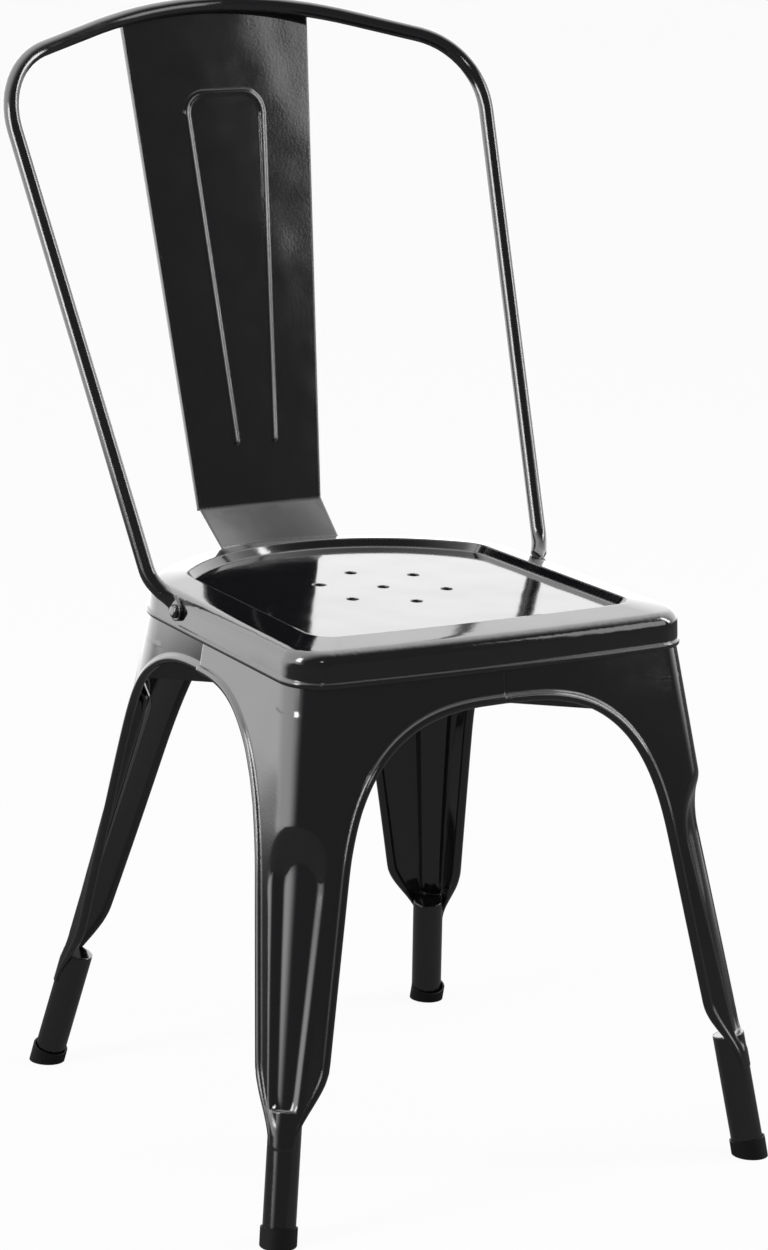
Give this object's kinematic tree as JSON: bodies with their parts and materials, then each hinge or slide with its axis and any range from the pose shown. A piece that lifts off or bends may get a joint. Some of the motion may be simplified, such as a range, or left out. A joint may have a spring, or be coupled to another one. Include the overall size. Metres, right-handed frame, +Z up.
{
  "type": "metal bistro chair",
  "caption": "Rigid pressed sheet-metal bistro chair: dished seat pan on splayed fluted legs, with a bent tube hoop and a central splat for the back.",
  "frame": {"origin": "on the floor, under the middle of the chair's bounding box", "axes": "+Z up, -Y towards the sitter's front, +X to the chair's right as seen from the front"},
  "size_m": [0.4548, 0.5432, 0.85],
  "materials": {
    "gloss_black_paint": "gloss black paint on pressed sheet steel and bent tube",
    "black_rubber": "matt moulded rubber",
    "black_steel": "gloss black painted bolt",
    "zinc_steel": "bright zinc plate"
  },
  "bodies": {
    "root": {"seat_pan": "gloss_black_paint", "leg_front_left": "gloss_black_paint", "leg_front_right": "gloss_black_paint", "leg_rear_left": "gloss_black_paint", "leg_rear_right": "gloss_black_paint", "foot_cap_front_left": "black_rubber", "foot_cap_front_right": "black_rubber", "foot_cap_rear_left": "black_rubber", "foot_cap_rear_right": "black_rubber", "back_hoop": "gloss_black_paint", "back_splat": "gloss_black_paint", "brace_front_left": "gloss_black_paint", "brace_front_right": "gloss_black_paint", "hoop_bolts": "black_steel", "hoop_washers": "zinc_steel", "hoop_nuts": "zinc_steel"}
  },
  "joints": []
}
